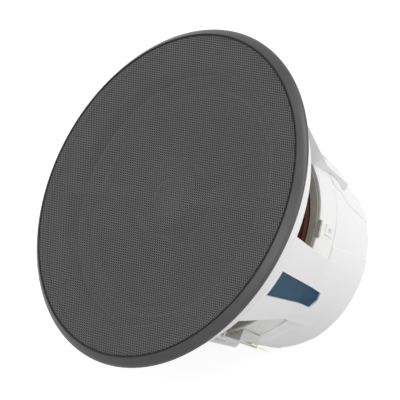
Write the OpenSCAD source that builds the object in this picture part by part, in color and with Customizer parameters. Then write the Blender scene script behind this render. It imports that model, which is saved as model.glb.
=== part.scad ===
// Flush-mounting two-way marine speaker: white moulded basket with four arms, sealed
// magnet cover, bridge-mounted tweeter, dark trim ring and a domed perforated grille.
// Millimetres. The origin is the centre of the mounting flange's back face, +Z is the front.

/* [Trim ring and grille] */
// Diameter of the perforated sheet
grille_d = 248; // [236:1:256]
// Rise of the dome at its centre
grille_dome = 2.3; // [0:0.1:6]
// Thickness of the perforated sheet
grille_t = 1; // [0.6:0.1:1.5]
// Width of the flat rim of the sheet
grille_rim = 3; // [2:0.5:6]
// Diameter of the holes drawn in the sheet
hole_d = 9; // [3:0.5:12]
// Pitch of the holes drawn in the sheet
hole_pitch = 22; // [20:1:40]
// Width of the visible trim ring round the sheet
trim_w = 6.2; // [5.6:0.2:12]
// Height of the sheet's edge above the flange's back face
grille_z = 7.5; // [7:0.5:12]

/* [Basket] */
// Thickness of the mounting flange
flange_t = 3; // [2.6:0.2:4]
// Width of the mounting flange outside the barrel
flange_lip = 9.5; // [8.5:0.5:11]
// How far the barrel narrows from the flange to its rear edge, on the radius
barrel_taper = 3.6; // [1:0.2:6]
// Depth of the barrel behind the flange
barrel_h = 24.5; // [21:0.5:28]
// Depth of the straight spigot that fits the panel's cut-out
spigot_h = 6; // [4:0.5:10]
// Depth of the windows' rear edge, the bowl's rim
rim_depth = 77; // [70:1:86]
// Outer diameter of the bowl's rim
bowl_d = 158.6; // [144:0.2:174]
// Height of the bowl, from its rim to the seam with the magnet cover
bowl_h = 19.5; // [18:0.5:22]
// Thickness of the bowl's rim round the spider's ring
bowl_wall = 1.9; // [1.5:0.1:3]
// Angle that each of the four arms takes up
arm_angle = 37.4; // [30:0.2:44]
// Radial thickness of an arm
arm_t = 9.4; // [8:0.2:12]
// How far an arm's toe reaches over the magnet cover
toe_reach = 25; // [21:0.5:28]
// Thickness of the moulded walls
wall = 3; // [2.4:0.2:4]

/* [Arm inlays] */
// Width of the inlay slot at its front end
slot_w_front = 21; // [14:0.5:30]
// Width of the inlay slot at its rear end
slot_w_rear = 13.5; // [8:0.5:20]
// Sideways shift of the slot's rear end
slot_shift = 4; // [0:0.5:6]
// Depth behind the barrel's rear edge where the slot starts
slot_gap = 3; // [1:0.5:12]
// Depth past the seam where the slot ends
slot_past = 8.4; // [2:0.2:12]
// Depth from the arm's face to the inlay's face
slot_recess = 1.4; // [0.6:0.1:1.6]
// Thickness of the inlay
inlay_t = 1.2; // [0.8:0.1:1.3]

/* [Magnet cover] */
// Height of the magnet cover behind the seam
cover_h = 56; // [50:0.5:64]
// How far the cover narrows from the seam to its shoulder, on the radius
cover_draft = 6; // [4.5:0.2:7]
// How far the cover narrows from the seam to its rear face, on the radius
cover_taper = 11.3; // [9:0.1:13]
// Bevel between the cover's wall and its rear face
cover_bevel = 4; // [2:0.5:6]
// Height of the cover's raised panels
panel_t = 0.8; // [0.4:0.1:1.2]

/* [Woofer] */
// Width of the surround's roll
roll_w = 11.4; // [9:0.2:13]
// Width of the surround's seat outside the roll
seat_w = 10.5; // [8:0.5:12]
// Thickness of the surround's rubber
rubber_t = 1.2; // [0.8:0.1:1.6]
// Depth of the surround's seat in the basket
seat_depth = 12.5; // [11:0.5:14]
// Height of the cone's neck above the bowl's rim
neck_rise = 13.5; // [11:0.5:16]
// Outer diameter of the coil former
former_d = 50.6; // [45:0.2:56]
// Thickness of the cone's wall
cone_t = 1.1; // [0.8:0.1:1.6]
// Depth of the spider's seat under the bowl's rim
spider_drop = 3; // [2.6:0.2:4]
// One-way travel of the cone
travel = 3.5; // [2:0.5:4]
// Width of the spider's clamping ring
spider_ring_w = 8.6; // [7.4:0.2:10]
// Height of the spider's corrugations
corrugation_h = 3; // [2:0.2:3.6]
// Number of corrugations along the spider's radius
corrugations = 7; // [4:1:8]

/* [Motor] */
// Thickness of the top and back plates
plate_t = 8; // [6:0.5:9]
// Gap between the ring magnet and the bowl's radius at the seam
magnet_inset = 18.8; // [16:0.2:24]
// Height of the ring magnet
magnet_h = 20; // [16:1:22]
// Height of the voice coil's winding
coil_h = 14; // [10:1:16]
// Thickness of the voice coil's winding
coil_t = 0.9; // [0.5:0.1:1]
// Running clearance on each side of the coil
coil_gap = 0.8; // [0.6:0.1:1.2]

/* [Tweeter] */
// Outer diameter of the tweeter's housing
pod_d = 60; // [54:1:68]
// Depth of the tweeter's housing
pod_h = 24; // [20:1:28]
// Diameter of the tweeter's dome
dome_d = 26; // [20:1:30]
// Width of the bridge that carries the tweeter
bridge_w = 9; // [6:0.5:12]
// Angle of the bridge round the axis
bridge_angle = -19; // [-30:1:30]

/* [Terminals and fasteners] */
// Width of the terminal block round the bowl
block_w = 16; // [14:0.5:18]
// Length of the terminal block along the axis
block_h = 20; // [18:0.5:24]
// Width of a terminal blade
blade_w = 4.8; // [2.8:0.2:5.2]
// Number of screws in the clamping ring
clamp_screw_count = 12; // [8:2:12]
// Number of mounting holes under the trim ring
mount_hole_count = 8; // [4:4:8]
// Diameter of a mounting hole
mount_hole_d = 4.5; // [3.5:0.1:5]

/* [Hidden] */
$fn = 96;

play = 0.3;                 // clearance round parts that are not fastened face to face
screw_play = 0.1;           // clearance round a screw's shank
quarter_turns = [0, 90, 180, 270];
arm_middle = 45;            // direction of the first arm
lug_angle = -11.5;          // direction of the first cover screw in the bowl
ear_angle = lug_angle - 1.5;
arc_steps = 14;
dome_steps = 6;

// Front: every radius follows from the sheet's.
grille_r = grille_d / 2;
flange_r = grille_r + 2.5;
trim_r = max(grille_r + trim_w + play, flange_r + 3.4);
barrel_r = flange_r - flange_lip;
barrel_rear_r = barrel_r - barrel_taper;
mount_r = (barrel_r + flange_r) / 2 - 0.75;
wall_in_r = barrel_r - 8.5;
roll_r = wall_in_r - seat_w;
seat_in_r = roll_r - 0.5;
ledge_t = 4;
flange_front = flange_t;
sheet_gap = 0.9;            // air between the clamping ring and the sheet
clamp_top = grille_z - grille_t - sheet_gap;
clamp_screw_r = (wall_in_r + barrel_r) / 2 - 1.25;
clamp_r = clamp_screw_r + 5.5;
trim_in_r = clamp_r + 1;

// Bowl and arms: every radius follows from the bowl's, every depth from its rim's.
rim_r = bowl_d / 2;
seam_r = rim_r - 0.5;
seam_depth = rim_depth + bowl_h;
spider_ring_r = rim_r - bowl_wall - play;
bowl_in_r = spider_ring_r + play;
spider_r = spider_ring_r - spider_ring_w;
spider_depth = rim_depth + spider_drop;
spider_seat_in_r = spider_r - 2.5;
ring_screw_r = spider_ring_r - 3.1;
floor_t = 4;
arm_face_r = seam_r + 4.7;  // radius of the arm's face where it bends, ahead of the seam
arm_bend = seam_depth - 7;
toe_r = seam_r + 0.2;       // radius of the toe before its end bevel
toe_depth = seam_depth + toe_reach;
toe_bevel = 2;
slot_start = barrel_h + slot_gap;
slot_end = seam_depth + slot_past;
slot_corner = 2.4;          // how far the slot's rear corners stop before its tip
cover_r = seam_r - cover_draft;
cover_rear_r = seam_r - cover_taper;
cover_shoulder = seam_depth + 14;
cover_shoulder_r = seam_r - cover_draft / 2 + 0.2;
cover_step = 7;             // length of the sloping step under the toes
rear_depth = seam_depth + cover_h;
seam_bevel = 0.6;           // bevel on both edges of the seam

// Cover screws: each passes through a pad on the bowl into a tongue of the cover.
tongue_w = 9;
tongue_t = 5;
tongue_h = 11;
tongue_r = seam_r - 8.8;
lug_depth = seam_depth - 8;
pad_w = 8;
pad_r = seam_r + 1.1;
pad_recess = 0.8;

ear_w = 13;                 // width of the spider ring's ears
ear_t = 1.5;
ear_reach = rim_r + 1.2;

// Cone, coil and motor.
neck_depth = rim_depth - neck_rise;
former_r = former_d / 2;
former_t = 0.4;
coil_r = former_r + coil_t;
pole_r = former_r - former_t - coil_gap + 0.1;
gap_r = coil_r + coil_gap;
floor_hole_r = gap_r + 2.5;
cone_top_r = roll_r - roll_w - 0.2;
lip_w = 5;                  // width of the surround's inner lip on the cone
magnet_r = seam_r - magnet_inset;
plate_r = magnet_r - 5;
magnet_in_r = gap_r + 5;
motor_screw_r = (floor_hole_r + plate_r) / 2 + 0.5;
top_plate_back = seam_depth + plate_t;
magnet_back = top_plate_back + magnet_h;
motor_back = magnet_back + plate_t;

// Crossover: its parts share the room behind the motor.
cover_room = rear_depth - wall - motor_back;
board_r = 40;
board_t = 1.6;
board_z = -(motor_back + cover_room * 0.24);
post_r = 3;
post_pcd = 66;
capacitor_r = cover_room * 0.28;
capacitor_l = 24;
filter_coil_r = 12;
filter_coil_h = cover_room * 0.5;
filter_offset = 14;         // distance of the capacitor and of the coil from the axis

// Tweeter and its bridge.
bridge_t = 4.5;
bridge_z = clamp_top - bridge_t;
bridge_tab_r = roll_r + 8;
faceplate_r = pod_d / 2 - 2.4;

// Terminals: the block's end face stands square to block_angle + 90.
block_angle = -117;
block_face = rim_r * 0.542;
block_out = rim_r - 2.9;
block_in = rim_r - 20;
block_top = -rim_depth - 1.5;
blade_t = 0.8;
blade_pitch = blade_w + 2.2;
blade_reach = 7;            // how far a blade stands out of the block
blade_seat = 12;            // how far a blade is held in the block
lead_angle = block_angle + 26;
lead_spread = 2.5;
lead_d = 1.6;
lead_sides = 8;

// Screws.
clamp_screw = [3.1, 1.6, 1.7, 12];      // head radius, head height, shank radius, shank length
ring_screw = [1.8, 0.9, 1, 6.2];
motor_screw = [4.5, 2.4, 2.5, 10];
cover_screw = [1.9, 0.8, 1.2, 8.6];

// One ring: a rectangle turned round the axis, from z = low to z = high.
module ring(inner, outer, low, high) {
    rotate_extrude() translate([inner, low]) square([outer - inner, high - low]);
}

// A cylinder standing at a distance from the axis, in a given direction.
module peg(distance, angle, radius, low, high, sides = 32) {
    rotate([0, 0, angle]) translate([distance, 0, low]) cylinder(r = radius, h = high - low, $fn = sides);
}

function arc(centre, radius, from, to, steps = arc_steps) = [
    for (i = [0 : steps])
        let (a = from + (to - from) * i / steps)
        centre + radius * [cos(a), sin(a)]
];

// Height of the grille's outer face at a radius.
function dome_z(r) = grille_z + grille_dome * (1 - pow(min(r, grille_r - grille_rim) / (grille_r - grille_rim), 2));

// Grille: one domed sheet with staggered round holes, flat at its rim.
module grille_mesh() {
    reach = grille_r - grille_rim;
    rows = ceil(reach / hole_pitch);
    dome = [for (i = [0 : dome_steps]) let (r = reach * i / dome_steps) [r, dome_z(r)]];
    under = [for (i = [dome_steps : -1 : 0]) dome[i] - [0, grille_t]];
    rim = [[grille_r - play, grille_z], [grille_r - play, grille_z - grille_t]];
    color("#545456") difference() {
        rotate_extrude() polygon(concat(dome, rim, under));
        for (row = [-2 * rows : 2 * rows], column = [-2 * rows : 2 * rows]) {
            x = hole_pitch * (column + row / 2);
            y = hole_pitch * row * sin(60);
            if (norm([x, y]) < reach - hole_d)
                translate([x, y, 0]) cylinder(d = hole_d, h = 3 * grille_z, $fn = 24);
        }
    }
}

// Trim ring: rounded outside, a shelf for the sheet inside, a skirt round the flange,
// and hollow underneath, over the heads of the mounting screws.
module trim_ring() {
    shelf = grille_z - grille_t;
    skirt_r = flange_r + play;
    foot_r = skirt_r - 2;
    widest_z = grille_z - 4.5;
    nose_w = trim_r - grille_r - 0.4;
    nose_h = grille_z + play - widest_z;
    outline = concat(
        [[trim_in_r, shelf - 1.5], [foot_r, shelf - 1.5], [foot_r, flange_front], [skirt_r, flange_front]],
        [[skirt_r, 0.2], [trim_r - 2.5, 0.2], [trim_r - 1.2, widest_z - 1.6], [trim_r - 0.3, widest_z - 0.8]],
        [for (i = [0 : arc_steps]) let (a = 90 * i / arc_steps)
            [trim_r - nose_w * (1 - cos(a)), widest_z + nose_h * sin(a)]],
        [[grille_r, grille_z - 0.2], [grille_r, shelf], [trim_in_r, shelf]]
    );
    color("#4a4a4d") rotate_extrude() polygon(outline);
}

// Clamping ring: holds the surround down and carries the tweeter's bridge.
module clamp_ring() {
    inner = roll_r + 1;
    skirt = wall_in_r - play;
    color("#2b2b2d") difference() {
        rotate_extrude() polygon([
            [inner, rubber_t - seat_depth], [skirt, rubber_t - seat_depth], [skirt, flange_front],
            [clamp_r, flange_front], [clamp_r, clamp_top - 1], [clamp_r - 1, clamp_top],
            [inner + 2, clamp_top], [inner, clamp_top - 2]
        ]);
        for (i = [0 : clamp_screw_count - 1])
            rotate([0, 0, i * 360 / clamp_screw_count + lug_angle - 14])
                translate([clamp_screw_r, 0, 0]) {
                    cylinder(r = clamp_screw[2] + screw_play, h = clamp_top + 1, $fn = 24);
                    translate([0, 0, clamp_top - 1.8]) cylinder(r = clamp_screw[0] + play, h = 2, $fn = 24);
                }
        rotate([0, 0, bridge_angle])
            translate([-bridge_tab_r - play, -bridge_w / 2 - play, flange_front])
                cube([2 * (bridge_tab_r + play), bridge_w + 2 * play, 10]);
        for (a = quarter_turns)
            rotate([0, 0, a + 25.5]) translate([roll_r + 5, 0, clamp_top - 2])
                cylinder(r = 2.4, h = 3, $fn = 24);
    }
}

// The cross-section of an arm, from the barrel to the end of its toe.
function arm_face() = [
    [barrel_rear_r, -barrel_h + 2], [arm_face_r, -arm_bend], [toe_r, toe_bevel - toe_depth],
    [toe_r - 1.5 * toe_bevel, -toe_depth]
];

module arm_section() {
    inner_top = barrel_rear_r - arm_t;
    polygon(concat(
        [[inner_top, -barrel_h + 4], [barrel_rear_r, -barrel_h + 4]],
        arm_face(),
        [
            [cover_r + play, -toe_depth], [cover_r + play, -cover_shoulder - cover_step],
            [cover_shoulder_r + play, -cover_shoulder], [seam_r + play, -seam_depth],
            [seam_r - 1, -seam_depth], [seam_r - 1, -rim_depth - 2], [bowl_in_r + 0.5, -rim_depth - 1]
        ]
    ));
}

// The cut for an inlay: a tapered outline, bent to one side, with a pointed rear end.
module slot_outline(gap) {
    half = slot_w_rear / 2;
    polygon([
        [-slot_w_front / 2 + gap, -slot_start - gap], [slot_w_front / 2 - gap, -slot_start - gap],
        [half - slot_shift - gap, slot_corner + gap - slot_end], [0.5 - slot_shift, gap - slot_end],
        [-half - slot_shift + gap, slot_corner + gap - slot_end]
    ]);
}

module slot_prism(gap) {
    rotate([90, 0, 90]) linear_extrude(flange_r) slot_outline(gap);
}

// A band that follows the arm's face between two depths under it.
module face_band(near, far) {
    face = [[barrel_rear_r + 1, -barrel_h + 4.2], arm_face()[1], arm_face()[2], arm_face()[3]];
    rotate([0, 0, -arm_angle / 2]) rotate_extrude(angle = arm_angle)
        polygon(concat([for (p = face) p - [near, 0]], [for (i = [3 : -1 : 0]) face[i] - [far, 0]]));
}

module arm_slot() {
    intersection() {
        slot_prism(0);
        face_band(-3, slot_recess + inlay_t);
    }
}

// Basket: flange, barrel, four arms with inlay slots, and the bowl, moulded as one piece.
module basket() {
    barrel_in_r = barrel_rear_r - arm_t + 1;
    color("#f2f2f0") difference() {
        union() {
            rotate_extrude() polygon([
                [wall_in_r, flange_front], [flange_r - 0.8, flange_front], [flange_r, flange_front - 0.8],
                [flange_r, 0], [barrel_r, 0], [barrel_r, -spigot_h],
                [barrel_rear_r, -barrel_h + 2], [barrel_rear_r - 2.6, -barrel_h], [barrel_in_r, -barrel_h],
                [barrel_in_r, -seat_depth - ledge_t - 2], [barrel_in_r - 2, -seat_depth - ledge_t],
                [seat_in_r, -seat_depth - ledge_t], [seat_in_r, -seat_depth], [wall_in_r, -seat_depth]
            ]);
            for (a = quarter_turns)
                rotate([0, 0, a + arm_middle - arm_angle / 2]) rotate_extrude(angle = arm_angle) arm_section();
            rotate_extrude() polygon([
                [bowl_in_r, -rim_depth], [rim_r - 0.5, -rim_depth], [rim_r, -rim_depth - 0.5],
                [seam_r, seam_bevel - seam_depth], [seam_r - seam_bevel, -seam_depth],
                [floor_hole_r, -seam_depth], [floor_hole_r, floor_t - seam_depth],
                [spider_seat_in_r, floor_t - seam_depth], [spider_seat_in_r, -spider_depth],
                [bowl_in_r, -spider_depth]
            ]);
            for (a = quarter_turns) rotate([0, 0, a + lug_angle])
                translate([pad_r - 3, -pad_w / 2, -lug_depth - pad_w / 2]) cube([3, pad_w, pad_w]);
        }
        for (a = quarter_turns) rotate([0, 0, a + arm_middle]) arm_slot();
        for (i = [0 : mount_hole_count - 1])
            peg(mount_r, (i + 0.5) * 360 / mount_hole_count, mount_hole_d / 2, -1, flange_front + 1);
        for (i = [0 : clamp_screw_count - 1])
            peg(clamp_screw_r, i * 360 / clamp_screw_count + lug_angle - 14, clamp_screw[2] + screw_play,
                clamp_top - 3 - clamp_screw[3], flange_front + 1);
        for (a = quarter_turns) {
            rotate([0, 0, a + lug_angle]) {
                translate([tongue_r - play, -tongue_w / 2 - play, -seam_depth - 1])
                    cube([tongue_t + 2 * play, tongue_w + 2 * play, tongue_h + 1 + play]);
                translate([tongue_r, 0, -lug_depth]) rotate([0, 90, 0]) {
                    cylinder(r = cover_screw[2] + screw_play, h = 20, $fn = 24);
                    translate([0, 0, pad_r - tongue_r - pad_recess])
                        cylinder(r = cover_screw[0] + screw_play, h = 3, $fn = 24);
                }
            }
            rotate([0, 0, a + ear_angle]) translate([bowl_in_r - 2, -ear_w / 2 - play, -rim_depth - ear_t - play])
                cube([6, ear_w + 2 * play, 4]);
            peg(ring_screw_r, a + lug_angle, ring_screw[2] + screw_play,
                0.2 - rim_depth - ring_screw[1] - ring_screw[3] - 0.2, 1 - spider_depth, 24);
            peg(motor_screw_r, a + 20, motor_screw[2] + screw_play, -seam_depth - 1, floor_t - seam_depth + 1);
        }
    }
}

// Inlay: a thin blue panel on the floor of an arm's slot.
module arm_inlay(turn) {
    color("#38546a") rotate([0, 0, turn]) intersection() {
        slot_prism(0.15);
        face_band(slot_recess, slot_recess + inlay_t - 0.02);
    }
}

// Surround: flat seat, half roll towards the front, flat lip on the cone.
module surround() {
    middle = roll_r - roll_w / 2;
    outer = roll_w / 2;
    inner = outer - rubber_t;
    top = rubber_t - seat_depth;
    color("#1c1c1e") rotate_extrude() polygon(concat(
        [[wall_in_r - play, -seat_depth], [wall_in_r - play, top], [middle + outer, top]],
        arc([middle, top], outer, 0, 180, 16),
        [[cone_top_r - lip_w, top], [cone_top_r - lip_w, -seat_depth], [middle - inner, -seat_depth]],
        arc([middle, top], inner, 180, 0, 16),
        [[middle + inner, -seat_depth]]
    ));
}

// A point along the cone's gently curved wall, 0 at the rim and 1 at the neck.
function cone_point(t) = [
    cone_top_r + (former_r + play - cone_top_r) * t,
    -seat_depth - play + (seat_depth + play - neck_depth) * (t + 0.22 * t * (1 - t))
];

module cone() {
    outer = [for (i = [0 : arc_steps]) cone_point(i / arc_steps)];
    inner = [for (i = [arc_steps : -1 : 0]) cone_point(i / arc_steps) - [0, 1.6 * cone_t]];
    color("#2a2a2c") rotate_extrude() polygon(concat(outer, inner));
}

// Dust cap: a shallow dome glued on the cone over the coil.
module dust_cap() {
    cap_r = former_r + 7;
    base = cone_point((cone_top_r - cap_r) / (cone_top_r - former_r - play))[1] + play;
    rise = 9;
    color("#262628") rotate_extrude() polygon(concat(
        [for (i = [0 : arc_steps]) let (r = cap_r * i / arc_steps) [r, base + rise * (1 - pow(r / cap_r, 2))]],
        [for (i = [arc_steps : -1 : 0]) let (r = (cap_r - 1) * i / arc_steps)
            [r, base - 0.2 + (rise - 0.8) * (1 - pow(r / (cap_r - 1), 2))]]
    ));
}

module coil_former() {
    color("#c9a86a") ring(former_r - former_t, former_r, -(top_plate_back + 5), 2 - neck_depth);
}

module voice_coil() {
    middle = seam_depth + plate_t / 2;
    color("#a8552c") ring(former_r, coil_r, -middle - coil_h / 2, -middle + coil_h / 2);
}

// Spider: a thin corrugated disc between the coil former and the bowl.
function spider_z(r) = -spider_depth + 0.4 + corrugation_h / 2
    + corrugation_h / 2 * cos(360 * corrugations * (r - former_r) / (spider_r - former_r) + 180);

module spider() {
    sheet = 0.8;
    steps = corrugations * 8;
    inner_r = former_r + play;
    span = spider_r - inner_r;
    flat_end = ring_screw_r - ring_screw[0] - 0.6;
    top = [for (i = [0 : steps]) let (r = inner_r + span * i / steps) [r, spider_z(r) + sheet / 2]];
    under = [for (i = [steps : -1 : 0]) top[i] - [0, sheet]];
    color("#42221a") rotate_extrude() polygon(concat(
        top,
        [[flat_end, -spider_depth + sheet], [flat_end, -spider_depth]],
        [[spider_r, -spider_depth]],
        under
    ));
}

// Spider ring: clamps the spider's edge, with four ears that lie in notches of the bowl's rim.
module spider_ring() {
    sheet = 0.8;
    high = 0.2 - rim_depth;
    step_r = ring_screw_r - ring_screw[0] - play;
    color("#a8a598") difference() {
        union() {
            rotate_extrude() polygon([
                [spider_r + 0.6, sheet - spider_depth], [step_r, sheet - spider_depth], [step_r, -spider_depth],
                [spider_ring_r, -spider_depth], [spider_ring_r, high - 0.7], [spider_ring_r - 1.2, high],
                [spider_r + 1, high], [spider_r + 0.6, high - 0.4]
            ]);
            for (a = quarter_turns) rotate([0, 0, a + ear_angle])
                translate([bowl_in_r - 4, -ear_w / 2, -rim_depth - ear_t]) cube([ear_reach - bowl_in_r + 4, ear_w, ear_t]);
        }
        for (a = quarter_turns) {
            peg(ring_screw_r, a + lug_angle, ring_screw[2] + screw_play, -spider_depth - 1, high + 1, 24);
            peg(ring_screw_r, a + lug_angle, ring_screw[0] + screw_play, high - ring_screw[1], high + 1, 24);
        }
    }
}

module top_plate() {
    color("#8a8d90") difference() {
        ring(gap_r, plate_r, -top_plate_back, -seam_depth);
        for (a = quarter_turns) peg(motor_screw_r, a + 20, motor_screw[2] + screw_play, -top_plate_back + 1,
            1 - seam_depth);
    }
}

module magnet() {
    color("#3a3a3c") ring(magnet_in_r, magnet_r, -magnet_back, -top_plate_back);
}

// Back plate with its pole, turned as one piece.
module back_plate() {
    color("#8a8d90") rotate_extrude() polygon([
        [0, -motor_back], [plate_r - 1, -motor_back], [plate_r, 1 - motor_back],
        [plate_r, -magnet_back], [pole_r, -magnet_back], [pole_r, -seam_depth - 1],
        [pole_r - 1, -seam_depth], [0, -seam_depth]
    ]);
}

// The cover's wall as a closed profile.
module cover_profile() {
    polygon([
        [seam_r - seam_bevel, -seam_depth], [seam_r, -seam_depth - seam_bevel],
        [cover_shoulder_r, -cover_shoulder], [cover_r, -cover_shoulder - cover_step],
        [cover_rear_r, cover_bevel - rear_depth], [cover_rear_r - cover_bevel, -rear_depth],
        [0, -rear_depth], [0, wall - rear_depth], [cover_rear_r - cover_bevel - 1.5, wall - rear_depth],
        [cover_rear_r - wall, cover_bevel + 1.5 - rear_depth], [cover_r - wall, -cover_shoulder - cover_step],
        [cover_shoulder_r - wall, -cover_shoulder], [seam_r - wall, -seam_depth]
    ]);
}

// A raised panel's cross-section, rooted in the middle of the cover's wall.
module panel_profile() {
    root = wall / 3;
    polygon([
        [seam_r - root, -seam_depth - 0.5], [seam_r + panel_t - 0.4, -seam_depth - 0.5],
        [seam_r + panel_t, -seam_depth - 0.9], [cover_shoulder_r + panel_t, -cover_shoulder],
        [cover_r + panel_t, -cover_shoulder - cover_step], [cover_rear_r + panel_t, cover_bevel - rear_depth],
        [cover_rear_r - 1.6, cover_bevel - 0.8 - rear_depth], [cover_rear_r - root, cover_bevel + 1 - rear_depth],
        [cover_r - root, -cover_shoulder - cover_step], [cover_shoulder_r - root, -cover_shoulder]
    ]);
}

// Magnet cover: a deep moulded cup behind the bowl, with four raised panels that the
// arms' toes lie in, screw tongues at its edge and posts for the crossover's board.
module magnet_cover() {
    panel_front = seam_r * sin(26.6);
    panel_rear = cover_rear_r * sin(32.6);
    toe_gap = 0.4;
    color("#f2f2f0") difference() {
        union() {
            rotate_extrude() cover_profile();
            for (a = quarter_turns) {
                rotate([0, 0, a + arm_middle]) difference() {
                    intersection() {
                        rotate([0, 0, -42]) rotate_extrude(angle = 84) panel_profile();
                        rotate([90, 0, 90]) linear_extrude(seam_r + 5) polygon([
                            [-panel_front, -seam_depth + 1], [panel_front, -seam_depth + 1],
                            [panel_rear, -rear_depth], [-panel_rear, -rear_depth]
                        ]);
                    }
                    rotate([0, 0, -arm_angle / 2 - toe_gap]) rotate_extrude(angle = arm_angle + 2 * toe_gap)
                        translate([cover_r / 2, -toe_depth - play]) square([seam_r, toe_reach + 2]);
                }
                peg(post_pcd / 2, a, post_r, wall - rear_depth - 0.5, board_z - board_t);
                rotate([0, 0, a + lug_angle]) {
                    translate([tongue_r, -tongue_w / 2, -seam_depth - 5]) cube([tongue_t + 1.5, tongue_w, 4.5]);
                    translate([tongue_r, -tongue_w / 2, -seam_depth - 1]) cube([tongue_t, tongue_w, tongue_h + 1]);
                }
            }
        }
        for (a = quarter_turns) {
            rotate([0, 0, a + lug_angle]) translate([tongue_r - 1, 0, -lug_depth]) rotate([0, 90, 0])
                cylinder(r = cover_screw[2] + screw_play, h = tongue_t + 2, $fn = 24);
            peg(post_pcd / 2, a, 1.1, board_z - board_t - 4, board_z - board_t + 1, 24);
        }
    }
}

// Bridge: a bar across the front with the tweeter's housing moulded in its middle.
module tweeter_bridge() {
    pod_r = pod_d / 2;
    pod_back = clamp_top - pod_h;
    pod_top = clamp_top + 0.4;
    color("#2b2b2d") difference() {
        union() {
            rotate_extrude() polygon([
                [0, pod_back], [pod_r - 6, pod_back], [pod_r - 1, pod_back + 5],
                [pod_r, clamp_top - 2], [pod_r - 1, pod_top], [0, pod_top]
            ]);
            rotate([90, 0, bridge_angle]) translate([0, 0, -bridge_w / 2]) linear_extrude(bridge_w) polygon([
                [-bridge_tab_r, flange_front], [-roll_r, flange_front], [-roll_r, bridge_z],
                [roll_r, bridge_z], [roll_r, flange_front], [bridge_tab_r, flange_front],
                [bridge_tab_r, clamp_top], [-bridge_tab_r, clamp_top]
            ]);
        }
        translate([0, 0, clamp_top - 3]) cylinder(r = faceplate_r + play / 2, h = 4);
        translate([0, 0, pod_back + 2.4]) cylinder(r = dome_d / 2 + 8, h = pod_h);
    }
}

module tweeter_faceplate() {
    low = clamp_top - 3;
    color("#1f1f21") rotate_extrude() polygon([
        [dome_d / 2 + 2, low], [faceplate_r, low], [faceplate_r, clamp_top - 0.8],
        [faceplate_r - 0.8, clamp_top], [dome_d / 2 + 7, clamp_top], [dome_d / 2 + 2, clamp_top - 2.2]
    ]);
}

module tweeter_dome() {
    dome_r = dome_d / 2;
    base = clamp_top - 3;
    rise = dome_r * 0.36;
    color("#c8c8cc") rotate_extrude() polygon(concat(
        [for (i = [0 : arc_steps]) let (r = dome_r * i / arc_steps) [r, base + rise * (1 - pow(r / dome_r, 2))]],
        [[dome_r + 5, base], [dome_r + 5, base - 0.8], [dome_r - 1, base - 0.8]],
        [for (i = [arc_steps : -1 : 0]) let (r = (dome_r - 1) * i / arc_steps)
            [r, base - 0.8 + rise * (1 - pow(r / (dome_r - 1), 2))]]
    ));
}

tweeter_plate_top = clamp_top - 3.8;
tweeter_plate_t = 2.5;

module tweeter_plate() {
    color("#8a8d90") ring(dome_d / 2 + 0.6, dome_d / 2 + 7.6, tweeter_plate_top - tweeter_plate_t, tweeter_plate_top);
}

module tweeter_magnet() {
    low = clamp_top - pod_h + 2.4;
    color("#3a3a3c") rotate_extrude() polygon([
        [0, low], [dome_d / 2 + 7.6, low], [dome_d / 2 + 7.6, tweeter_plate_top - tweeter_plate_t],
        [dome_d / 2 + 2, tweeter_plate_top - tweeter_plate_t], [dome_d / 2 + 2, low + 3],
        [dome_d / 2 - 1.4, low + 3], [dome_d / 2 - 1.4, tweeter_plate_top - 0.4], [0, tweeter_plate_top - 0.4]
    ]);
}

// Terminal block: a grey wedge on the bowl's outer wall, with two blade terminals.
module terminal_block() {
    color("#c8cacb") rotate([0, 0, block_angle]) difference() {
        translate([block_in, block_face - block_w, block_top - block_h])
            cube([block_out - block_in, block_w, block_h]);
        translate([0, 0, block_top - block_h - 1]) cylinder(r = rim_r + play, h = block_h + 2);
        for (side = [0, 1])
            translate([block_out - 1.9, blade_start(side) - 0.1, block_top - block_h - 1])
                cube([blade_t + 0.2, blade_w + 0.2, blade_seat + 1.1]);
    }
}

function blade_start(side) = block_face - 1.6 - blade_w - side * blade_pitch;

module blade(side) {
    color("#c9a24a") rotate([0, 0, block_angle])
        translate([block_out - 1.8, blade_start(side), block_top - block_h - blade_reach])
            difference() {
                cube([blade_t, blade_w, blade_reach + blade_seat]);
                translate([-1, blade_w / 2, 3.2]) rotate([0, 90, 0]) cylinder(d = 1.6, h = 3, $fn = 24);
            }
}

// A flexible lead from the terminal block to the back of the cone, swept round a slack curve.
lead_start = [rim_r + 2.2, block_top + lead_d / 2 + 0.05];
lead_middle = [rim_r - 1, -rim_depth + 14];
lead_end = cone_point(0.52) - [0, 1.6 * cone_t + lead_d / 2 + 0.4];
lead_steps = 10;
function lead_route(side) = [
    for (i = [0 : lead_steps])
        let (t = i / lead_steps,
             p = (1 - t) * (1 - t) * lead_start + 2 * t * (1 - t) * lead_middle + t * t * lead_end)
        [p[0], side * lead_spread, p[1]]
];

module lead(side) {
    route = lead_route(side);
    last = len(route) - 1;
    points = [
        for (i = [0 : last])
            let (ahead = route[min(i + 1, last)] - route[max(i - 1, 0)], dir = ahead / norm(ahead),
                 across = [0, 1, 0], up = cross(dir, across))
            for (k = [0 : lead_sides - 1])
                route[i] + lead_d / 2 * (cos(360 * k / lead_sides) * across + sin(360 * k / lead_sides) * up)
    ];
    skin = [
        for (i = [0 : last - 1], k = [0 : lead_sides - 1])
            let (a = i * lead_sides + k, b = i * lead_sides + (k + 1) % lead_sides)
            [a, a + lead_sides, b + lead_sides, b]
    ];
    start = [[for (k = [0 : lead_sides - 1]) k]];
    end = [[for (k = [lead_sides - 1 : -1 : 0]) last * lead_sides + k]];
    color("#b98d5a") rotate([0, 0, lead_angle]) polyhedron(points, concat(skin, start, end));
}

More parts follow.
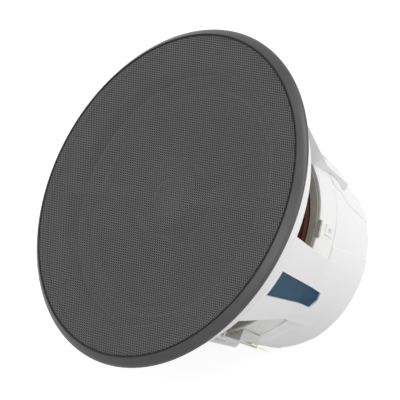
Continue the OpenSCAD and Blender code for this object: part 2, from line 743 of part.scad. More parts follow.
// Crossover: a round board on posts in the magnet cover, with a capacitor and a coil.
module crossover_board() {
    color("#2f5d3a") difference() {
        translate([0, 0, board_z - board_t]) cylinder(r = board_r, h = board_t);
        for (a = quarter_turns) peg(post_pcd / 2, a, 1.2, board_z - board_t - 1, board_z + 1, 24);
    }
}

module crossover_capacitor() {
    color("#c7a33c") translate([-capacitor_l / 2, filter_offset, board_z - board_t - capacitor_r])
        rotate([0, 90, 0]) cylinder(r = capacitor_r, h = capacitor_l);
}

module crossover_coil() {
    color("#a8552c") translate([0, -filter_offset, 0])
        ring(filter_coil_r * 0.4, filter_coil_r, board_z - board_t - filter_coil_h, board_z - board_t);
}

// One screw, head upwards on z = 0: size is head radius, head height, shank radius, shank length.
module screw(size) {
    recess_w = size[0] * 0.35;
    color("#7d7f82") difference() {
        union() {
            cylinder(r = size[0], h = size[1], $fn = 24);
            translate([0, 0, -size[3]]) cylinder(r = size[2], h = size[3], $fn = 24);
        }
        for (a = [0, 90]) rotate([0, 0, a])
            translate([-size[0] * 0.6, -recess_w / 2, size[1] * 0.4]) cube([size[0] * 1.2, recess_w, size[1]]);
    }
}

module clamp_screws() {
    for (i = [0 : clamp_screw_count - 1])
        rotate([0, 0, i * 360 / clamp_screw_count + lug_angle - 14])
            translate([clamp_screw_r, 0, clamp_top - 1.8]) screw(clamp_screw);
}

module spider_ring_screws() {
    for (a = quarter_turns) rotate([0, 0, a + lug_angle])
        translate([ring_screw_r, 0, 0.2 - rim_depth - ring_screw[1]]) screw(ring_screw);
}

module motor_screws() {
    for (a = quarter_turns) rotate([0, 0, a + 20])
        translate([motor_screw_r, 0, floor_t - seam_depth]) screw(motor_screw);
}

module cover_screws() {
    for (a = quarter_turns) rotate([0, 0, a + lug_angle])
        translate([pad_r - pad_recess, 0, -lug_depth]) rotate([0, 90, 0]) screw(cover_screw);
}

grille_mesh();
trim_ring();
clamp_ring();
basket();
arm_inlay(45);  // arm_inlay_1
arm_inlay(135);  // arm_inlay_2
arm_inlay(225);  // arm_inlay_3
arm_inlay(315);  // arm_inlay_4
surround();
cone();
dust_cap();
coil_former();
voice_coil();
spider();
spider_ring();
top_plate();
magnet();
back_plate();
magnet_cover();
tweeter_bridge();
tweeter_faceplate();
tweeter_dome();
tweeter_magnet();
tweeter_plate();
terminal_block();
blade(1);  // terminal_positive
blade(-1);  // terminal_negative
lead(1);  // lead_positive
lead(-1);  // lead_negative
crossover_board();
crossover_capacitor();
crossover_coil();
clamp_screws();
spider_ring_screws();
motor_screws();
cover_screws();
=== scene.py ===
# %% [markdown]
# A marine speaker, dressed for a studio picture
#
# The speaker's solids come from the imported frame, at their real size and place.
# This script gives each of them its finish, and models again the few pieces whose
# look needs finer meshes: the perforated grille, the painted trim ring, the white
# mouldings, the rubber surround, the cloth spider and the braided leads.

# %% Load the frame
import math

import bmesh
import bpy
from mathutils import Matrix, Vector
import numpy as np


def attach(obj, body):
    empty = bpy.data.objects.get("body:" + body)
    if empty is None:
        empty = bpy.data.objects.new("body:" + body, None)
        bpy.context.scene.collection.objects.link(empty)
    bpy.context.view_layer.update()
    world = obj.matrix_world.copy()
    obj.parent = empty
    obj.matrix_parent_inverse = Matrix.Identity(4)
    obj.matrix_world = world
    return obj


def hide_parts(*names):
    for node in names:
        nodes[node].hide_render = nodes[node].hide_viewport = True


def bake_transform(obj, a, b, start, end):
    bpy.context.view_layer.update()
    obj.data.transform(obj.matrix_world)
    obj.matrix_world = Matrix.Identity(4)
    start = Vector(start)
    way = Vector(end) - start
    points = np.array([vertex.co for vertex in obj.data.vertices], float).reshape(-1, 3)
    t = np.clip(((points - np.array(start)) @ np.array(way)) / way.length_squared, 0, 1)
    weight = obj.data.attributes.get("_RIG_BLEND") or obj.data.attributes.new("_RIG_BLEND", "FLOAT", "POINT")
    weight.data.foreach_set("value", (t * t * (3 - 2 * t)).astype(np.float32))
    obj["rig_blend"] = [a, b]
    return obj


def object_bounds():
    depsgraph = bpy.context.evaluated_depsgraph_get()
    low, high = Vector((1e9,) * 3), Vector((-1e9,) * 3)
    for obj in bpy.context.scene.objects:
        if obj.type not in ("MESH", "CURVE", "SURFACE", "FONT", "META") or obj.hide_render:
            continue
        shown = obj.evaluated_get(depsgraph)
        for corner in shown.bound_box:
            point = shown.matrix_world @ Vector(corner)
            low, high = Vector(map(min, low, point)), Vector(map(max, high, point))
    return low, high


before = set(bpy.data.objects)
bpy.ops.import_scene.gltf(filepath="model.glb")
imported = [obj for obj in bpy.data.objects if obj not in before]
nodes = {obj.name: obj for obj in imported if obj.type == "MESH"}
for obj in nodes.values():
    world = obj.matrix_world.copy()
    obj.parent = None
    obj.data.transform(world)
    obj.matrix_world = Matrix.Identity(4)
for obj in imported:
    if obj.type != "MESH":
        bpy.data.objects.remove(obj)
cad_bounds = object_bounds()

MM = 0.001
FRAME_BODY = "frame"
CONE_BODY = "cone_assembly"
FULL_TURN = 2 * math.pi

# %% [markdown]
# The camera comes first. The photograph was taken from in front and to one side,
# with the speaker lying on its rim, so the camera is rolled a long way round its
# own view axis. The angles, the distance and the lens were worked out from the
# ellipse of the grille's rim and from the pattern of its holes. The camera looks at
# the middle of that rim, a little aside from it, so it is placed by steps along its
# own right, up and back directions.

# %% Camera
CAMERA_AZIMUTH = math.radians(-34.5)
CAMERA_ELEVATION = math.radians(43.0)
CAMERA_ROLL = math.radians(-62.8)
CAMERA_DISTANCE = 2.036
CAMERA_RIGHT = 0.0271
CAMERA_UP = -0.0048
LENS_MM = 253.5
SENSOR_MM = 36
FARTHEST_SEEN = 20
GRILLE_EDGE_Z = 7.5 * MM

turn = (
    Matrix.Rotation(CAMERA_AZIMUTH + math.pi / 2, 3, "Z")
    @ Matrix.Rotation(math.pi / 2 - CAMERA_ELEVATION, 3, "X")
    @ Matrix.Rotation(CAMERA_ROLL, 3, "Z")
)
VIEW_RIGHT, VIEW_UP, VIEW_BACK = turn.col[0].copy(), turn.col[1].copy(), turn.col[2].copy()
camera_data = bpy.data.cameras.new("camera")
camera_data.lens = LENS_MM
camera_data.sensor_width = SENSOR_MM
camera_data.clip_end = FARTHEST_SEEN
camera = bpy.data.objects.new("camera", camera_data)
camera.location = (
    Vector((0, 0, GRILLE_EDGE_Z))
    + VIEW_RIGHT * CAMERA_RIGHT
    + VIEW_UP * CAMERA_UP
    + VIEW_BACK * CAMERA_DISTANCE
)
camera.rotation_euler = turn.to_euler()
bpy.context.scene.collection.objects.link(camera)
bpy.context.scene.camera = camera
print("camera at", [round(c, 4) for c in camera.location])

# %% [markdown]
# The photograph's background is pure white, but a world that bright would wash out
# the white mouldings. So the world lights the speaker softly, and only where it is
# seen itself, by the camera, in gloss or through glass, is it plain white. The Light
# Path node tells these rays apart.

# %% World
scene = bpy.context.scene
scene.view_settings.view_transform = "Standard"

WHITE = (1, 1, 1, 1)
WORLD_LIGHT = 0.5


def larger(tree, first, second):
    """A socket with the larger of two others."""
    node = tree.nodes.new("ShaderNodeMath")
    node.operation = "MAXIMUM"
    tree.links.new(first, node.inputs[0])
    tree.links.new(second, node.inputs[1])
    return node.outputs[0]


def seen_directly(tree):
    """A socket that is 1 for what the camera sees itself, in gloss or through glass."""
    path = tree.nodes.new("ShaderNodeLightPath")
    seen = larger(tree, path.outputs["Is Camera Ray"], path.outputs["Is Glossy Ray"])
    return larger(tree, seen, path.outputs["Is Transmission Ray"])


def background(tree, strength):
    """A plain white background of the given strength."""
    node = tree.nodes.new("ShaderNodeBackground")
    node.inputs["Color"].default_value = WHITE
    node.inputs["Strength"].default_value = strength
    return node.outputs[0]


world = bpy.data.worlds.new("studio")
world.use_nodes = True
scene.world = world
world_tree = world.node_tree
world_tree.nodes.clear()
world_mix = world_tree.nodes.new("ShaderNodeMixShader")
world_tree.links.new(seen_directly(world_tree), world_mix.inputs[0])
world_tree.links.new(background(world_tree, WORLD_LIGHT), world_mix.inputs[1])
world_tree.links.new(background(world_tree, 1.0), world_mix.inputs[2])
world_output = world_tree.nodes.new("ShaderNodeOutputWorld")
world_tree.links.new(world_mix.outputs[0], world_output.inputs["Surface"])
print("world light", WORLD_LIGHT)

# %% [markdown]
# The speaker stands on the magnet cover's flat end, on a pale floor. The floor keeps
# the speaker's shadow. Its small glow is seen but lights nothing, and lifts the lit
# part of the floor to the same white as the background.

# %% Floor
FLOOR_SIZE = 6.0
FLOOR_GAP = 0.2 * MM
FLOOR_GREY = (0.93, 0.93, 0.93, 1)
FLOOR_ROUGHNESS = 0.8
FLOOR_GLOW = 0.5

floor_mesh = bmesh.new()
bmesh.ops.create_grid(floor_mesh, x_segments=1, y_segments=1, size=FLOOR_SIZE / 2)
bmesh.ops.translate(floor_mesh, vec=(0, 0, cad_bounds[0][2] - FLOOR_GAP), verts=floor_mesh.verts)
floor_data = bpy.data.meshes.new("floor")
floor_mesh.to_mesh(floor_data)
floor_mesh.free()
floor = bpy.data.objects.new("floor", floor_data)
scene.collection.objects.link(floor)

floor_paint = bpy.data.materials.new("studio_floor")
floor_paint.use_nodes = True
floor_tree = floor_paint.node_tree
floor_shader = floor_tree.nodes["Principled BSDF"]
floor_shader.inputs["Base Color"].default_value = FLOOR_GREY
floor_shader.inputs["Roughness"].default_value = FLOOR_ROUGHNESS
floor_shader.inputs["Emission Color"].default_value = WHITE
floor_glow = floor_tree.nodes.new("ShaderNodeMath")
floor_glow.operation = "MULTIPLY"
floor_glow.inputs[1].default_value = FLOOR_GLOW
floor_tree.links.new(seen_directly(floor_tree), floor_glow.inputs[0])
floor_tree.links.new(floor_glow.outputs[0], floor_shader.inputs["Emission Strength"])
floor_data.materials.append(floor_paint)
print("floor at", round(cad_bounds[0][2], 4))

# %% [markdown]
# Five soft area lamps do the rest. The key stands high in the picture, the side lamp
# and the rim lamp to its right, where the trim ring catches its highlight, and two
# large weak ones fill the front. Each is placed by the camera's own directions, in
# metres from the speaker, so it is easy to think of where it stands in the picture.

# %% Lamps
LAMPS = {
    # name: right, up, back, width in metres, power in watts
    "key": (0.9, 1.7, 1.0, 1.0, 12),
    "side": (1.5, 0.7, 1.0, 1.0, 8.5),
    "rim": (2.0, 0.4, 0.1, 1.0, 5.5),
    "right": (1.6, -0.1, 1.3, 1.4, 7),
    "front": (-0.3, 0.2, 2.2, 1.4, 10),
}


def lamp(name, right, up, back, width, power):
    """A square area lamp, aimed at the speaker."""
    data = bpy.data.lights.new(name, "AREA")
    data.shape = "SQUARE"
    data.size = width
    data.energy = power
    made = bpy.data.objects.new(name, data)
    place = VIEW_RIGHT * right + VIEW_UP * up + VIEW_BACK * back
    made.location = place
    made.rotation_euler = (-place).to_track_quat("-Z", "Y").to_euler()
    scene.collection.objects.link(made)
    return made


for lamp_name, setting in LAMPS.items():
    lamp(lamp_name, *setting)
print("lamps", len(LAMPS))

# %% [markdown]
# Most pieces keep their solid mesh, so they need only a material. Everything reads
# Object coordinates, so a pattern stays on the piece from every side.

# %% Material kit
ROUGH_SPREAD = 0.06
SMOOTHEST = 0.02
BUMP_DEPTH = 0.2 * MM
CLOUD_LOW, CLOUD_HIGH = 0.3, 0.7


def finish(name, colour, roughness, metallic=0.0, variation=0.06, cloud=0.02, grain=0.0006,
           bump=0.05, sheen=0.0, specular=0.5):
    """A surface with clouds of colour and roughness, and a grain that bumps it."""
    material = bpy.data.materials.new(name)
    material.use_nodes = True
    tree = material.node_tree
    shader = tree.nodes["Principled BSDF"]
    shader.inputs["Metallic"].default_value = metallic
    shader.inputs["Specular IOR Level"].default_value = specular
    shader.inputs["Sheen Weight"].default_value = sheen

    place = tree.nodes.new("ShaderNodeTexCoord")
    clouds = tree.nodes.new("ShaderNodeTexNoise")
    clouds.inputs["Scale"].default_value = 1 / cloud
    clouds.inputs["Detail"].default_value = 3
    tree.links.new(place.outputs["Object"], clouds.inputs["Vector"])

    tint = tree.nodes.new("ShaderNodeValToRGB")
    dark = [c * (1 - variation) for c in colour]
    light = [min(1, c * (1 + variation)) for c in colour]
    tint.color_ramp.elements[0].position = CLOUD_LOW
    tint.color_ramp.elements[0].color = (*dark, 1)
    tint.color_ramp.elements[1].position = CLOUD_HIGH
    tint.color_ramp.elements[1].color = (*light, 1)
    tree.links.new(clouds.outputs["Fac"], tint.inputs["Fac"])
    tree.links.new(tint.outputs["Color"], shader.inputs["Base Color"])

    spread = tree.nodes.new("ShaderNodeMapRange")
    spread.inputs["To Min"].default_value = max(SMOOTHEST, roughness - ROUGH_SPREAD)
    spread.inputs["To Max"].default_value = min(1, roughness + ROUGH_SPREAD)
    tree.links.new(clouds.outputs["Fac"], spread.inputs["Value"])
    tree.links.new(spread.outputs["Result"], shader.inputs["Roughness"])

    grains = tree.nodes.new("ShaderNodeTexNoise")
    grains.inputs["Scale"].default_value = 1 / grain
    grains.inputs["Detail"].default_value = 2
    tree.links.new(place.outputs["Object"], grains.inputs["Vector"])
    relief = tree.nodes.new("ShaderNodeBump")
    relief.inputs["Strength"].default_value = bump
    relief.inputs["Distance"].default_value = BUMP_DEPTH
    tree.links.new(grains.outputs["Fac"], relief.inputs["Height"])
    tree.links.new(relief.outputs["Normal"], shader.inputs["Normal"])
    return material


# %% [markdown]
# The outside is painted metal and moulded plastic. The grille's powder coat and the
# ring's charcoal paint are partly metallic, because fine flakes in them catch the
# lamps. The white moulding wanders very little in colour: on a surface that pale, a
# small change already reads as dirt.

# %% Finishes of the outside
grille_paint = finish("grille_paint", (0.19, 0.19, 0.193), 0.5, metallic=0.3, variation=0.05, bump=0.1)
trim_paint = finish("trim_paint", (0.078, 0.078, 0.08), 0.38, metallic=0.45, specular=0.35,
                    variation=0.08, grain=0.0004, bump=0.12)
white_moulding = finish("white_moulding", (0.8, 0.8, 0.797), 0.42, variation=0.012, cloud=0.05,
                        bump=0.03, specular=0.3)
blue_panel = finish("blue_panel", (0.024, 0.07, 0.12), 0.6, variation=0.1, bump=0.08, specular=0.1)
grey_moulding = finish("grey_moulding", (0.66, 0.66, 0.65), 0.5, variation=0.03, specular=0.3)
# Painted shadow: a dark grey for the ring that paints the shade in the seam's groove.
seam_shade_paint = finish("seam_shade_paint", (0.1, 0.1, 0.1), 0.7, bump=0.1, specular=0.2)
plated_brass = finish("plated_brass", (0.75, 0.72, 0.6), 0.35, metallic=0.9)
stainless = finish("stainless", (0.62, 0.62, 0.61), 0.45, metallic=0.6)
print("outside finishes", grille_paint.name, trim_paint.name, white_moulding.name, blue_panel.name)

# %% [markdown]
# Inside, nearly everything in front of the cone is black, so that nothing shows
# through the grille but its own pattern. Behind the windows the spider's cloth is
# reddish brown, with larger patches where it took up its varnish unevenly, and the
# white ring that holds it is painted warm grey as painted shade with brown bounce light.

# %% Finishes of the inside
# Black for the black plastic parts, and painted shade where it lines the white basket's pocket and the trim
# ring's ledge.
black_plastic = finish("black_plastic", (0.009, 0.009, 0.01), 0.6, bump=0.1)
butyl = finish("butyl", (0.009, 0.009, 0.01), 0.6, bump=0.08, sheen=0.1)
cone_skin = finish("cone_skin", (0.012, 0.012, 0.013), 0.6, bump=0.15)
amber_former = finish("amber_former", (0.5, 0.33, 0.12), 0.35)
copper_wire = finish("copper_wire", (0.6, 0.28, 0.12), 0.3, metallic=0.9)
spider_cloth = finish("spider_cloth", (0.11, 0.028, 0.015), 0.8, variation=0.2, cloud=0.01,
                      bump=0.3, sheen=0.2)
# Painted shade: the spider ring's white plastic is darkened to a warm grey, with painted brown light bounced
# off the spider's cloth.
painted_shade_moulding = finish("painted_shade_moulding", (0.46, 0.44, 0.37), 0.6, variation=0.05, specular=0.3)
zinc = finish("zinc", (0.5, 0.5, 0.5), 0.35, metallic=1.0)
ferrite = finish("ferrite", (0.045, 0.045, 0.05), 0.6, bump=0.2)
dome_metal = finish("dome_metal", (0.06, 0.06, 0.063), 0.4, metallic=1.0)
black_steel = finish("black_steel", (0.03, 0.03, 0.032), 0.45, metallic=0.8)
tinsel = finish("tinsel", (0.3, 0.25, 0.2), 0.6, metallic=0.4, variation=0.3, cloud=0.0015)
board_green = finish("board_green", (0.03, 0.12, 0.05), 0.4)
film_yellow = finish("film_yellow", (0.6, 0.4, 0.05), 0.4)
print("inside finishes", spider_cloth.name, painted_shade_moulding.name, cone_skin.name, butyl.name)

# %% [markdown]
# Each node of the frame now gets its finish, in the material slots of its own object.
# A piece that replaces a node later takes the same finish from this list.

# %% Which finish each node wears
WEARS = {
    "grille_mesh": grille_paint, "trim_ring": trim_paint, "clamp_ring": black_plastic,
    "basket": white_moulding, "magnet_cover": white_moulding,
    "arm_inlay_1": blue_panel, "arm_inlay_2": blue_panel,
    "arm_inlay_3": blue_panel, "arm_inlay_4": blue_panel,
    "surround": butyl, "cone": cone_skin, "dust_cap": cone_skin,
    "coil_former": amber_former, "voice_coil": copper_wire,
    "spider": spider_cloth, "spider_ring": painted_shade_moulding,
    "top_plate": zinc, "magnet": ferrite, "back_plate": zinc,
    "tweeter_bridge": black_plastic, "tweeter_faceplate": black_plastic,
    "tweeter_dome": dome_metal, "tweeter_magnet": ferrite, "tweeter_plate": zinc,
    "terminal_block": grey_moulding,
    "terminal_positive": plated_brass, "terminal_negative": plated_brass,
    "lead_positive": tinsel, "lead_negative": tinsel,
    "crossover_board": board_green, "crossover_capacitor": film_yellow,
    "crossover_coil": copper_wire,
    "clamp_screws": black_steel, "spider_ring_screws": stainless,
    "motor_screws": stainless, "cover_screws": stainless,
}
for node_name, worn in WEARS.items():
    data = nodes[node_name].data
    if not data.materials:
        data.materials.append(worn)
    for index in range(len(data.materials)):
        data.materials[index] = worn
print("dressed", len(WEARS))

# %% [markdown]
# Every new piece ends the same way: its bmesh becomes an object with one material,
# rides on its node's body and stands in for the node. The shading is smooth, with a
# crease only where two faces meet at a clear angle.

# %% Helpers for new pieces
CONE_NODES = {"cone", "dust_cap", "coil_former", "voice_coil"}
MERGE_DISTANCE = 0.002 * MM


def object_from(mesh, name, material):
    """Turns a bmesh into a linked object with one material."""
    data = bpy.data.meshes.new(name)
    mesh.to_mesh(data)
    mesh.free()
    made = bpy.data.objects.new(name, data)
    data.materials.append(material)
    scene.collection.objects.link(made)
    return made


def stand_in(piece, node_name):
    """The piece is shown in place of a node of the frame, which it hides."""
    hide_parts(node_name)
    return piece


def seat(piece, node_name):
    """The piece stands in for a node and rides with its body."""
    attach(piece, CONE_BODY if node_name in CONE_NODES else FRAME_BODY)
    return stand_in(piece, node_name)


def shade(mesh, sharp_angle):
    """Smooth shading, with a crease wherever two faces meet at more than the angle."""
    for face in mesh.faces:
        face.smooth = True
    for edge in mesh.edges:
        edge.smooth = len(edge.link_faces) == 2 and edge.calc_face_angle() < sharp_angle


def merged_copy(node_name):
    """A bmesh of a node's solid in its own place, with its loose triangles joined."""
    source = nodes[node_name]
    mesh = bmesh.new()
    mesh.from_mesh(source.data)
    mesh.transform(source.matrix_world)
    bmesh.ops.remove_doubles(mesh, verts=mesh.verts, dist=MERGE_DISTANCE)
    return mesh


print("nodes that ride with the cone", sorted(CONE_NODES))

# %% [markdown]
# A moulded or pressed edge is never quite sharp, and the thin bright line along it
# is what makes the picture read as a real object. Each piece that shows is made
# again from a merged copy of its own solid: the flat facets are joined, every edge
# over a set angle gets a small rounded bevel, and the shading follows the larger faces.

# %% Rounded copies of the solids
FLAT_ANGLE = math.radians(0.3)
EDGE_ANGLE = math.radians(28)
COPY_CREASE = math.radians(50)
BEVEL_SEGMENTS = 2
BEVELS = {
    # node: width of its rounded edges in millimetres
    "basket": 0.45, "magnet_cover": 0.4, "spider_ring": 0.25, "clamp_ring": 0.3,
    "terminal_block": 0.45, "tweeter_bridge": 0.35, "tweeter_faceplate": 0.25,
    "terminal_positive": 0.12, "terminal_negative": 0.12,
    "arm_inlay_1": 0.12, "arm_inlay_2": 0.12, "arm_inlay_3": 0.12, "arm_inlay_4": 0.12,
    "clamp_screws": 0.15, "spider_ring_screws": 0.1, "cover_screws": 0.1, "motor_screws": 0.15,
    "top_plate": 0.4, "magnet": 0.5, "back_plate": 0.3, "tweeter_dome": 0.05,
    "dust_cap": 0.1, "cone": 0.1,
}


def rounded(node_name, width):
    """A copy of a node's solid with every edge over the angle rounded off."""
    mesh = merged_copy(node_name)
    bmesh.ops.dissolve_limit(mesh, angle_limit=FLAT_ANGLE, verts=mesh.verts, edges=mesh.edges)
    edges = [e for e in mesh.edges if len(e.link_faces) == 2 and e.calc_face_angle() > EDGE_ANGLE]
    bmesh.ops.bevel(mesh, geom=edges, offset=width * MM, offset_type="OFFSET", affect="EDGES",
                    segments=BEVEL_SEGMENTS, profile=0.5, clamp_overlap=True, material=-1)
    shade(mesh, COPY_CREASE)
    piece = object_from(mesh, node_name + "_rounded", WEARS[node_name])
    weighted = piece.modifiers.new("weighted", "WEIGHTED_NORMAL")
    weighted.keep_sharp = True
    return seat(piece, node_name)


copies = {}
for node_name, bevel in BEVELS.items():
    copies[node_name] = rounded(node_name, bevel)
    print(node_name, "faces", len(copies[node_name].data.polygons))

# %% [markdown]
# The basket's pocket, in front of the surround, is painted black inside as painted
# shade, so that nothing white shows through the grille. The faces that look inwards or
# forwards there get a second material, so the white outside of the barrel is left as it is.

# %% The basket's pocket, painted black as shade
POCKET_RADIUS, POCKET_FLOOR = 119.5 * MM, -12.7 * MM
OUTWARD_MOST, BACKWARD_MOST = 0.3, -0.5

basket = copies["basket"].data
# Painted shade: the inward and forward faces of the white basket's pocket are painted black.
basket.materials.append(black_plastic)
blackened = 0
for face in basket.polygons:
    reach = math.hypot(face.center.x, face.center.y)
    outward = (face.normal.x * face.center.x + face.normal.y * face.center.y) / reach
    in_pocket = reach < POCKET_RADIUS and face.center.z > POCKET_FLOOR
    if in_pocket and outward < OUTWARD_MOST and face.normal.z > BACKWARD_MOST:
        face.material_index = 1
        blackened += 1
print("black faces in the pocket", blackened)

# %% [markdown]
# The trim ring, the surround and the spider are turned shapes, so each is one
# profile swept round the axis with the spin operator. The ring's outside is widest
# just above the panel and slopes in to the grille at about 45 degrees, which gives
# the long soft highlight along it. A smooth curve through ten points is enough for
# the slope. Its ledge behind the grille is painted black as painted shade, so the
# holes stay dark right to the edge.

# %% Trim ring
ROUND_STEPS = 288
TURNED_CREASE = math.radians(40)
CURVE_STEPS = 4
LEDGE_RADIUS = 123.95 * MM
RING_UNDER = [
    (116.6, 5.0), (124.8, 5.0), (124.8, 3.0), (126.85, 3.0), (126.85, 0.25),
    (128.9, 0.2), (129.4, 0.3),
]
RING_SLOPE = [
    (129.75, 0.6), (129.9, 1.1), (129.85, 1.8), (129.6, 2.6), (129.15, 3.4), (128.45, 4.2),
    (127.5, 5.1), (126.35, 6.05), (125.45, 6.75), (124.85, 7.2),
]
RING_LIP = [
    (124.5, 7.42), (124.25, 7.42), (124.08, 7.3), (124.0, 7.0), (124.0, 6.5), (116.6, 6.5),
]


def turned(points, name, material):
    """Sweeps a closed profile of (radius, height) points once round the axis, in millimetres."""
    mesh = bmesh.new()
    loop = [mesh.verts.new((r * MM, 0, z * MM)) for r, z in points]
    edges = [mesh.edges.new((loop[i], loop[(i + 1) % len(loop)])) for i in range(len(loop))]
    bmesh.ops.spin(mesh, geom=loop + edges, cent=(0, 0, 0), axis=(0, 0, 1), angle=FULL_TURN,
                   steps=ROUND_STEPS, use_merge=True)
    bmesh.ops.recalc_face_normals(mesh, faces=mesh.faces)
    shade(mesh, TURNED_CREASE)
    return object_from(mesh, name, material)


def curved(points):
    """The same open line with more points, as a smooth curve that passes through all of them."""
    ends = [points[0]] + points + [points[-1]]
    line = []
    for p0, p1, p2, p3 in zip(ends, ends[1:], ends[2:], ends[3:]):
        for i in range(CURVE_STEPS):
            t = i / CURVE_STEPS
            line.append(tuple(
                0.5 * (2 * b + (c - a) * t
                       + (2 * a - 5 * b + 4 * c - d) * t * t
                       + (3 * b - a - 3 * c + d) * t ** 3)
                for a, b, c, d in zip(p0, p1, p2, p3)))
    return line + [points[-1]]


ring_profile = RING_UNDER + curved(RING_SLOPE) + RING_LIP
trim_ring = seat(turned(ring_profile, "trim_ring_turned", trim_paint), "trim_ring")
# Painted shade: the ring's ledge behind the grille is painted black.
trim_ring.data.materials.append(black_plastic)
for face in trim_ring.data.polygons:
    if math.hypot(face.center.x, face.center.y) < LEDGE_RADIUS:
        face.material_index = 1
print("trim ring points", len(ring_profile))

# %% [markdown]
# Where the basket meets the magnet cover, both edges are bevelled, and a thin dark
# grey ring at the bottom of the groove paints the seam's shade as a fine line round the bowl.
# It is no node of its own in the frame, so it rides on the frame and replaces nothing.

# %% Painted shade in the seam
SEAM_Z, SHADE_LINE_R = -96.5, 78.3
SHADE_LINE_HALF, SHADE_LINE_DEPTH = 0.17, 0.4

shade_line_profile = [
    (SHADE_LINE_R - SHADE_LINE_DEPTH, SEAM_Z - SHADE_LINE_HALF), (SHADE_LINE_R, SEAM_Z - SHADE_LINE_HALF),
    (SHADE_LINE_R, SEAM_Z + SHADE_LINE_HALF), (SHADE_LINE_R - SHADE_LINE_DEPTH, SEAM_Z + SHADE_LINE_HALF),
]
# A dark ring at the bottom of the groove, painting the seam's shadow.
seam_shade_line = turned(shade_line_profile, "painted_seam_shade", seam_shade_paint)
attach(seam_shade_line, FRAME_BODY)
print("seal at", SEAM_Z, "mm")

# %% [markdown]
# The surround holds the cone's outer edge to the basket, so it stretches when the
# cone travels. It gets a blend from the frame to the cone, and then a weight that
# grows from its outer edge to its inner one, because it bends the same way all
# round. Its profile is a flat rim, a half roll of rubber and a lip under the cone.

# %% Surround
SEAT_Z, RUBBER = -12.5, 1.2
SURROUND_EDGE = 108.15
ROLL_X, ROLL_OUT, ROLL_STEPS = 92.3, 5.7, 32
SURROUND_FIXED, SURROUND_MOVING = 98.0, 86.6


def blend_by_radius(piece, fixed, moving):
    """The piece follows the frame outside the fixed radius and the cone inside the moving one."""
    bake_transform(piece, FRAME_BODY, CONE_BODY, start=(fixed * MM, 0, 0), end=(moving * MM, 0, 0))
    weights = piece.data.attributes["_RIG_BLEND"]
    for vert, weight in zip(piece.data.vertices, weights.data):
        share = (fixed * MM - math.hypot(vert.co.x, vert.co.y)) / ((fixed - moving) * MM)
        share = min(1.0, max(0.0, share))
        weight.value = share * share * (3 - 2 * share)


def arc(x, z, radius, first, last, steps):
    """Points along an arc, with its angles in degrees."""
    turns = (math.radians(first + (last - first) * i / steps) for i in range(steps + 1))
    return [(x + radius * math.cos(a), z + radius * math.sin(a)) for a in turns]


surround_profile = (
    [(SURROUND_EDGE, SEAT_Z + 0.02), (SURROUND_EDGE, SEAT_Z + RUBBER), (98.2, SEAT_Z + RUBBER)]
    + arc(ROLL_X, SEAT_Z + RUBBER, ROLL_OUT, 0, 180, ROLL_STEPS)
    + [(86.4, SEAT_Z + RUBBER), (81.5, SEAT_Z + RUBBER - 0.1), (81.45, SEAT_Z + 0.05),
       (87.8, SEAT_Z + 0.02)]
    + arc(ROLL_X, SEAT_Z + RUBBER, ROLL_OUT - RUBBER, 180, 0, ROLL_STEPS)
    + [(96.8, SEAT_Z + 0.02)]
)
surround = stand_in(turned(surround_profile, "surround_turned", butyl), "surround")
blend_by_radius(surround, SURROUND_FIXED, SURROUND_MOVING)
print("surround faces", len(surround.data.polygons))

# %% [markdown]
# The spider centres the voice coil. It is a disc of varnished cloth pressed into
# ring-shaped folds, so its profile is a cosine wave of seven folds with a thickness
# of 0.7 mm, and a flat edge that is glued to the spider ring.

# %% Spider
SPIDER_IN, SPIDER_OUT, SPIDER_EDGE = 25.6, 68.5, 71.5
SPIDER_SEAT, CORRUGATION, FOLDS = -80.0, 3.0, 7
STEPS_PER_FOLD = 14
WAVE_START = 25.3
CLOTH_LIFT, CLOTH_HALF = 0.4, 0.35
SPIDER_MOVING = 27.0
SPIDER_STEPS = FOLDS * STEPS_PER_FOLD


def spider_height(radius):
    """Middle height of the spider's sheet at a radius."""
    turns = FOLDS * (radius - WAVE_START) / (SPIDER_OUT - WAVE_START)
    return SPIDER_SEAT + CLOTH_LIFT + CORRUGATION / 2 * (1 - math.cos(FULL_TURN * turns))


radii = [SPIDER_IN + (SPIDER_OUT - SPIDER_IN) * i / SPIDER_STEPS for i in range(SPIDER_STEPS + 1)]
spider_profile = (
    [(r, spider_height(r) + CLOTH_HALF) for r in radii]
    + [(SPIDER_EDGE, SPIDER_SEAT + 0.75), (SPIDER_EDGE, SPIDER_SEAT + 0.03)]
    + [(r, spider_height(r) - CLOTH_HALF) for r in reversed(radii)]
)
spider = stand_in(turned(spider_profile, "spider_turned", spider_cloth), "spider")
blend_by_radius(spider, SPIDER_OUT, SPIDER_MOVING)
print("spider faces", len(spider.data.polygons))

# %% [markdown]
# Two flexible leads of woven copper tinsel carry the signal from the terminals to
# the cone. Their solids already have the right curve, so each is only merged and
# shaded smooth, and its weight grows from the terminal's end to the cone's end.

# %% Leads
LEAD_CREASE = math.radians(60)
LEAD_END = 1.5


def braid(node_name):
    """The lead's own solid, smoothed, which stretches from the terminal to the cone."""
    mesh = merged_copy(node_name)
    shade(mesh, LEAD_CREASE)
    piece = stand_in(object_from(mesh, node_name + "_braid", WEARS[node_name]), node_name)
    reach = [math.hypot(v.co.x, v.co.y) / MM for v in piece.data.vertices]
    blend_by_radius(piece, max(reach) - LEAD_END, min(reach) + LEAD_END)
    return piece


for lead_name in ("lead_positive", "lead_negative"):
    print(lead_name, "faces", len(braid(lead_name).data.polygons))

# %% [markdown]
# The grille is a steel sheet punched with about fourteen thousand small holes in
# a staggered pattern, then pressed into a shallow dome. A sheet with that many
# holes is too heavy, so it is built from the metal that is left between them:
# three sets of narrow straight bars, turned 60 degrees from each other, that run
# midway between the rows of holes. Where they cross they leave six-sided holes
# at the real pitch, and light falls through them as through the real ones. The
# three sets lie a hair apart in height, so that no two faces share a plane.

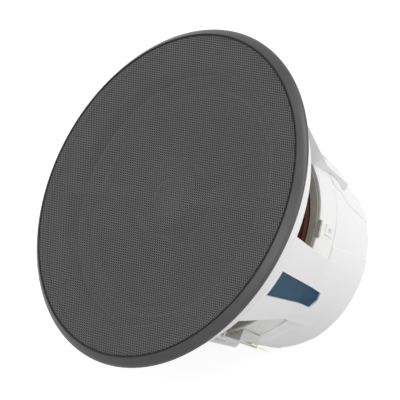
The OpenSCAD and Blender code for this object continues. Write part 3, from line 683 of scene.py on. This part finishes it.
# %% The grille's bars
HOLE_PITCH = 2.0 * MM
HOLE_ACROSS = 1.48 * MM
GRILLE_RADIUS = 123.6 * MM
GRILLE_RIM = 3.0 * MM
GRILLE_DOME = 2.3 * MM
SHEET_THICKNESS = 0.25 * MM
PLAIN_EDGE = 1.2 * MM
PATTERN_TURN = math.radians(36.2)
FAMILY_TURN = math.radians(60)
FAMILIES = 3
BAR_STEP = 8 * MM
LAYER_SHIFT = 0.03 * MM
ROW_STEP = HOLE_PITCH * math.sin(math.radians(60))
BAR_WIDTH = ROW_STEP - HOLE_ACROSS


def dome_height(x, y):
    """Height of the grille's outer face over its rim plane."""
    reach = GRILLE_RADIUS - GRILLE_RIM
    share = min(1.0, (x * x + y * y) / (reach * reach))
    return GRILLE_DOME * (1 - share)


def add_bar(mesh, offset, angle, drop):
    """One bar of the sheet: a narrow strip along a chord of the disc, lifted on to the dome."""
    half = math.sqrt((GRILLE_RADIUS - PLAIN_EDGE) ** 2 - offset * offset)
    steps = max(2, round(2 * half / BAR_STEP))
    place = (
        Matrix.Rotation(angle, 4, "Z")
        @ Matrix.Translation((0, offset, 0))
        @ Matrix.Diagonal((2 * half, BAR_WIDTH, 1, 1))
    )
    strip = bmesh.ops.create_grid(mesh, x_segments=steps, y_segments=1, size=0.5, matrix=place)
    for v in strip["verts"]:
        v.co.z = GRILLE_EDGE_Z + dome_height(v.co.x, v.co.y) - drop


sheet = bmesh.new()
rows = int(GRILLE_RADIUS / ROW_STEP)
for family in range(FAMILIES):
    for row in range(-rows, rows):
        add_bar(sheet, (row + 0.5) * ROW_STEP, PATTERN_TURN + family * FAMILY_TURN,
                LAYER_SHIFT * (family + 1))
bmesh.ops.solidify(sheet, geom=sheet.faces[:], thickness=SHEET_THICKNESS)
print("grille bars", 2 * rows * FAMILIES, "faces", len(sheet.faces))

# %% [markdown]
# Bars alone leave a small open triangle between each three neighbouring holes, where
# the real sheet is solid. One flat triangle closes each of them, just under the bars.
# It reaches a little under the bars, and at a pitch of two millimetres it needs no
# thickness of its own.

# %% The grille's junctions
JUNCTION_REACH = 0.5 * MM
JUNCTION_DROP = LAYER_SHIFT * 4


def add_junction(mesh, row, column, side):
    """The small solid triangle between three neighbouring holes, which the bars leave open."""
    x = (column + row / 2) * HOLE_PITCH + HOLE_PITCH / 2
    y = row * ROW_STEP + side * ROW_STEP / 3
    if math.hypot(x, y) > GRILLE_RADIUS - PLAIN_EDGE - HOLE_PITCH:
        return
    corners = []
    for k in range(3):
        turn_to = math.radians(90 * side + 120 * k)
        cx, cy = x - JUNCTION_REACH * math.cos(turn_to), y - JUNCTION_REACH * math.sin(turn_to)
        px = cx * math.cos(PATTERN_TURN) - cy * math.sin(PATTERN_TURN)
        py = cx * math.sin(PATTERN_TURN) + cy * math.cos(PATTERN_TURN)
        corners.append(mesh.verts.new((px, py, GRILLE_EDGE_Z + dome_height(px, py) - JUNCTION_DROP)))
    mesh.faces.new(corners)


for row in range(-rows - 1, rows + 1):
    for column in range(-rows - 1, rows + 1):
        for side in (1, -1):
            add_junction(sheet, row, column, side)
grille = seat(object_from(sheet, "grille_sheet", grille_paint), "grille_mesh")
print("grille faces", len(grille.data.polygons))
